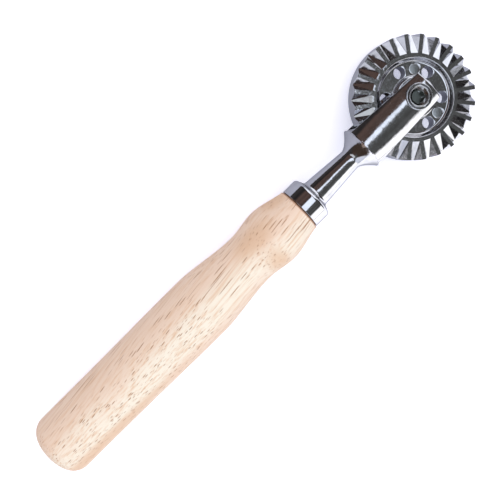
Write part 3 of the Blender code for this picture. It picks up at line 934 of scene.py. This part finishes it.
def wheel_chrome():
    """Chrome over a casting, dull and rough on the pin marks."""
    centres = [on_hole_circle(angle) for angle in pin_mark_angles()]
    marks = (centres, PIN_MARK_RADIUS - PIN_MARK_GROOVE_WIDTH, PIN_MARK_METAL)
    return chrome_material("wheel_chrome", CHROME, CAST_ROUGHNESS, CAST_GRAIN_DEPTH, WHEEL_WAVE_DEPTH, marks)


def sleeve_metal():
    """Turned metal, rough inside the socket and the bore, where a dark colour is painted shade."""
    # Painted shade: the socket and the bore get a dark colour
    inside = ([axle_place], MOUTH_FOOT_RADIUS, SOCKET_PAINTED_SHADE)
    return chrome_material("sleeve_metal", AXLE_METAL, TURNED_ROUGHNESS, TURNED_GRAIN_DEPTH, 0.0, inside)


def screw_metal():
    return chrome_material("screw_metal", AXLE_METAL, TURNED_ROUGHNESS, TURNED_GRAIN_DEPTH)


def tang_steel():
    return chrome_material("tang_steel", TANG_METAL, TANG_ROUGHNESS, TURNED_GRAIN_DEPTH)


def grain_axes():
    """Directions along the wood's fibres and square to them, in the part's frame."""
    tilt = math.radians(FIBRE_TILT_DEGREES)
    side = math.radians(FIBRE_TILT_SIDE_DEGREES)
    leaning = Vector((0.0, math.cos(side), math.sin(side)))
    along = Vector((1.0, 0.0, 0.0)) * math.cos(tilt) + leaning * math.sin(tilt)
    across = along.cross(leaning).normalized()
    return along, across, across.cross(along).normalized()


def stretched(tree, place, axes, lengths):
    """Coordinates in which a cell of the given lengths along the axes measures 1."""
    distances = [dotted(tree, place, axis) for axis in axes]
    shares = [calculated(tree, "DIVIDE", *pair) for pair in zip(distances, lengths)]
    return add_node(tree, "ShaderNodeCombineXYZ", dict(enumerate(shares))).outputs["Vector"]


def fibres(tree, place, axes, cell, shift_shares=(0.0, 0.0, 0.0)):
    """1 inside scattered long pores that run along the grain, and 0 outside."""
    moved = with_vectors(tree, "ADD", stretched(tree, place, axes, cell), shift_shares)["Vector"]
    inputs = {"Vector": moved, "Scale": 1.0, "Randomness": 1.0}
    cells = add_node(tree, "ShaderNodeTexVoronoi", inputs)
    return stepped(tree, cells.outputs["Distance"], PORE_CORE_SHARE * PORE_SHARE, PORE_SHARE, 1.0, 0.0)


def patch(tree, place, from_butt, reach, ragged):
    """1 in the middle of an egg-shaped patch, falling to 0 at its reach, with a ragged edge."""
    centre = (butt_x + from_butt[0], from_butt[1], axis_height + from_butt[2])
    offset = with_vectors(tree, "SUBTRACT", place, centre)["Vector"]
    reached = with_vectors(tree, "LENGTH", with_vectors(tree, "DIVIDE", offset, reach)["Vector"])["Value"]
    return stepped(tree, calculated(tree, "ADD", reached, ragged), *PATCH_EDGE_SHARES, 1.0, 0.0)


def wood_material():
    """Pale hardwood: streaks and pores along the fibres, tan patches, rose and cream that are partly painted
    shade and light, a patch of painted shade beside the ferrule, and a line of painted shade at the ferrule.
    """
    made, tree, shader = new_material("pale_hardwood", 0.0)
    place = place_on_piece(tree)
    axes = grain_axes()
    streaks = noise(tree, stretched(tree, place, axes, STREAK_CELL), 1.0, STREAK_OCTAVES, CRISP_SHARE)
    clouds = noise(tree, stretched(tree, place, axes, CLOUD_CELL), 1.0, CLOUD_OCTAVES)
    # Rose on the upper-left side and cream over the top: partly the wood's tone, partly painted shade and
    # light
    colour = mixed(tree, patch(tree, place, *CREAM_AND_LIGHT_PATCH, clouds), WOOD_ROSE_AND_SHADE, WOOD_CREAM_AND_LIGHT)
    streak_share = stepped(tree, streaks, *STREAK_NOISE_SHARES, 0.0, STREAK_TAN_SHARE)
    colour = mixed(tree, streak_share, colour, WOOD_TAN)
    # Tan patches of the wood, the last one painted shade beside the ferrule
    for offset, reach in TAN_AND_SHADE_PATCHES:
        share = calculated(tree, "MULTIPLY", patch(tree, place, offset, reach, streaks), TAN_PATCH_SHARE)
        colour = mixed(tree, share, colour, WOOD_TAN)
    # Painted shade: a dark line on the wood where it meets the ferrule
    along = dotted(tree, place, (1.0, 0.0, 0.0))
    ferrule_shade_start = butt_x + HANDLE_LENGTH + SHOULDER_LIP - FERRULE_SHADE_WIDTH
    colour = mixed(tree, above(tree, along, ferrule_shade_start, 0.5 * FERRULE_SHADE_WIDTH), colour, WOOD_FERRULE_SHADE)
    pores = fibres(tree, place, axes, PORE_CELL)
    fine_pores = fibres(tree, place, axes, FINE_PORE_CELL, FINE_PORE_SHIFT_SHARES)
    for found, dark_share in ((fine_pores, FINE_PORE_DARK_SHARE), (pores, PORE_DARK_SHARE)):
        colour = mixed(tree, calculated(tree, "MULTIPLY", found, dark_share), colour, WOOD_PORE)
    tree.links.new(colour, shader.inputs["Base Color"])
    gloss = stepped(tree, streaks, *WOOD_GLOSS_NOISE_SHARES, *WOOD_ROUGHNESS_LIMITS)
    tree.links.new(gloss, shader.inputs["Roughness"])
    height = calculated(tree, "SUBTRACT", calculated(tree, "MULTIPLY", streaks, STREAK_HEIGHT_SHARE), pores)
    tree.links.new(bumped(tree, height, PORE_DEPTH), shader.inputs["Normal"])
    return made


def dress_tang(material):
    """Gives the tang, whose solid is shown as it is, its metal."""
    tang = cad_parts["tang"]
    tang.data.materials.clear()
    tang.data.materials.append(material)


# Camera, floor and studio

def tool_to_picture():
    """Turns the tool's axes into the picture's: right, up and towards the viewer."""
    roll = Matrix.Rotation(math.radians(TOOL_ROLL_DEGREES), 3, "X")
    turn = Matrix.Rotation(math.radians(TOOL_TURN_DEGREES), 3, "Z")
    return turn @ roll


def make_camera():
    data = bpy.data.cameras.new("camera")
    data.lens = data.sensor_width * PIXELS_PER_METRE * CAMERA_DISTANCE / PICTURE_HEIGHT_PIXELS
    camera = bpy.data.objects.new("camera", data)
    bpy.context.scene.collection.objects.link(camera)
    to_tool = tool_to_picture().transposed()
    seat = Vector((-WHEEL_RIGHT_OF_CENTRE, -WHEEL_ABOVE_CENTRE, CAMERA_DISTANCE))
    camera.matrix_world = Matrix.Translation(axle_place + to_tool @ seat) @ to_tool.to_4x4()
    bpy.context.scene.camera = camera


def sees_background(tree):
    """Two shares: 1 for rays straight from the camera, and 1 for rays mirrored or through glass."""
    path = add_node(tree, "ShaderNodeLightPath")
    mirrored = calculated(tree, "MAXIMUM", path.outputs["Is Glossy Ray"], path.outputs["Is Transmission Ray"])
    return path.outputs["Is Camera Ray"], mirrored


def make_floor():
    shape = bmesh.new()
    bmesh.ops.create_grid(shape, x_segments=1, y_segments=1, size=FLOOR_HALF_SIZE)
    floor = new_object("floor", shape)
    floor.location.z = -TINY
    made = bpy.data.materials.new("pale_floor")
    made.use_nodes = True
    tree = made.node_tree
    tree.nodes.clear()
    straight, mirrored = sees_background(tree)
    # Painted shade: the floor is darker where the chrome mirrors it
    colour = mixed(tree, mirrored, FLOOR_COLOUR, FLOOR_MIRRORED_SHADE_COLOUR)
    paint = add_node(tree, "ShaderNodeBsdfDiffuse", {"Color": colour})
    # Painted light: the mirrored floor glows white up to some Y
    across = dotted(tree, place_on_piece(tree), (0.0, 1.0, 0.0))
    painted_light_part = stepped(tree, across, *MIRRORED_PAINTED_LIGHT_END_LIMITS, 1.0, 0.0)
    glow = mixed(tree, calculated(tree, "MULTIPLY", mirrored, painted_light_part), BLACK, WHITE)
    glow = mixed(tree, straight, glow, FLOOR_LIFT)
    lift = add_node(tree, "ShaderNodeEmission", {"Color": glow, "Strength": 1.0})
    both = add_node(tree, "ShaderNodeAddShader", {0: paint.outputs["BSDF"], 1: lift.outputs["Emission"]})
    add_node(tree, "ShaderNodeOutputMaterial", {"Surface": both.outputs["Shader"]})
    floor.data.materials.append(made)


def side_share(tree, azimuth, limits):
    """1 for the part of the studio's sides between two turns, given in degrees."""
    low, high = (math.radians(limit) for limit in limits)
    return banded(tree, azimuth, low, high, math.radians(SIDE_SOFT_DEGREES))


def studio_sides(tree, azimuth, front):
    """The studio's dark sides, with their shade, screens, gap and card, and a thin table line."""
    colour = SIDE_COLOUR
    parts = ((SHADE_DEGREES, SHADE_COLOUR), (SCREEN_DEGREES, SCREEN_COLOUR), (GAP_DEGREES, CEILING_DARK),
             (HIGH_SCREEN_DEGREES, HIGH_SCREEN_COLOUR), (CARD_DEGREES, CARD_COLOUR))
    for limits, part_colour in parts:
        colour = mixed(tree, side_share(tree, azimuth, limits), colour, part_colour)
    middle = 0.5 * sum(TABLE_LINE_SHARES)
    line = banded(tree, front, *TABLE_LINE_SHARES, middle - TABLE_LINE_SHARES[0])
    return mixed(tree, line, colour, TABLE_LINE_COLOUR)


def studio_ceiling(tree, right, up, front, azimuth, direction):
    """The dim ceiling, brown to the upper left and grey to the lower right, a card and a window."""
    across = calculated(tree, "SUBTRACT", right, up)
    colour = mixed(tree, stepped(tree, across, *CEILING_CHANGE_SHARES), CEILING_BROWN, CEILING_GREY)
    cloud = noise(tree, direction, CEILING_CLOUD_SCALE, CEILING_OCTAVES)
    cloud = stepped(tree, cloud, *CEILING_CLOUD_NOISE_SHARES, 0.0, CEILING_CLOUD_DARK_SHARE)
    colour = mixed(tree, cloud, colour, CEILING_DARK)
    low = calculated(tree, "MULTIPLY", stepped(tree, front, *LOW_DARK_FRONT_SHARES, 1.0, 0.0),
                     stepped(tree, across, *LOW_DARK_SIDE_SHARES, 1.0, 0.0))
    colour = mixed(tree, low, colour, CEILING_DARK)
    card = calculated(tree, "MULTIPLY", side_share(tree, azimuth, HIGH_CARD_DEGREES),
                      banded(tree, front, *HIGH_CARD_FRONT_SHARES, HIGH_CARD_SOFT_SHARE))
    colour = mixed(tree, card, colour, HIGH_CARD_COLOUR)
    left = slanted(tree, right, up, WINDOW_LEFT_SLANT)
    left = above(tree, left, WINDOW_LEFT_SHARE, WINDOW_LEFT_SOFT_SHARE)
    side = slanted(tree, right, up, WINDOW_RIGHT_SLANT)
    side = above(tree, side, WINDOW_RIGHT_SHARE, WINDOW_RIGHT_SOFT_SHARE)
    across_window = calculated(tree, "SUBTRACT", left, side)
    window = calculated(tree, "MULTIPLY", across_window,
                        banded(tree, up, *WINDOW_REACH_SHARES, WINDOW_END_SOFT_SHARE))
    return mixed(tree, window, colour, WINDOW_COLOUR)


def studio_seen(tree):
    """What the chrome mirrors above the floor: the sides up to their rim, and then the ceiling."""
    direction = add_node(tree, "ShaderNodeTexCoord").outputs["Generated"]
    right, up, front = (dotted(tree, direction, axis) for axis in tool_to_picture().row)
    azimuth = calculated(tree, "ARCTAN2", up, right)
    sides = studio_sides(tree, azimuth, front)
    ceiling = studio_ceiling(tree, right, up, front, azimuth, direction)
    rise = calculated(tree, "MULTIPLY", side_share(tree, azimuth, CARD_DEGREES), CARD_RISE_SHARE)
    screen = side_share(tree, azimuth, HIGH_SCREEN_DEGREES)
    rise = calculated(tree, "MULTIPLY_ADD", screen, HIGH_SCREEN_RISE_SHARE, rise)
    rim = [calculated(tree, "ADD", rise, share) for share in SIDE_RIM_SHARES]
    return mixed(tree, stepped(tree, front, *rim, 1.0, 0.0), ceiling, sides)


def make_world():
    world = bpy.data.worlds.new("studio")
    bpy.context.scene.world = world
    world.use_nodes = True
    tree = world.node_tree
    tree.nodes.clear()
    straight, mirrored = sees_background(tree)
    direction = add_node(tree, "ShaderNodeTexCoord").outputs["Generated"]
    to_tool = tool_to_picture().transposed()
    bright_side = dotted(tree, direction, to_tool @ Vector(BRIGHT_SIDE).normalized())
    lit = mixed(tree, stepped(tree, bright_side, -1.0, 1.0), DIM_LIGHT, BRIGHT_LIGHT)
    height = dotted(tree, direction, (0.0, 0.0, 1.0))
    level = stepped(tree, height, *HORIZON_SHARES, HORIZON_LIGHT_SHARE, 1.0)
    lit = mixed(tree, level, BLACK, lit)
    colour = mixed(tree, mirrored, lit, studio_seen(tree))
    colour = mixed(tree, straight, colour, WHITE)
    sky = add_node(tree, "ShaderNodeBackground", {"Color": colour, "Strength": 1.0})
    add_node(tree, "ShaderNodeOutputWorld", {"Surface": sky.outputs["Background"]})


def main():
    bpy.context.scene.view_settings.view_transform = "Standard"
    make_camera()
    make_floor()
    make_world()
    make_handle(wood_material())
    make_ferrule(drawn_chrome())
    make_fork(cast_chrome())
    make_wheel(wheel_chrome())
    make_sleeve(sleeve_metal())
    make_screw(screw_metal())
    dress_tang(tang_steel())


main()
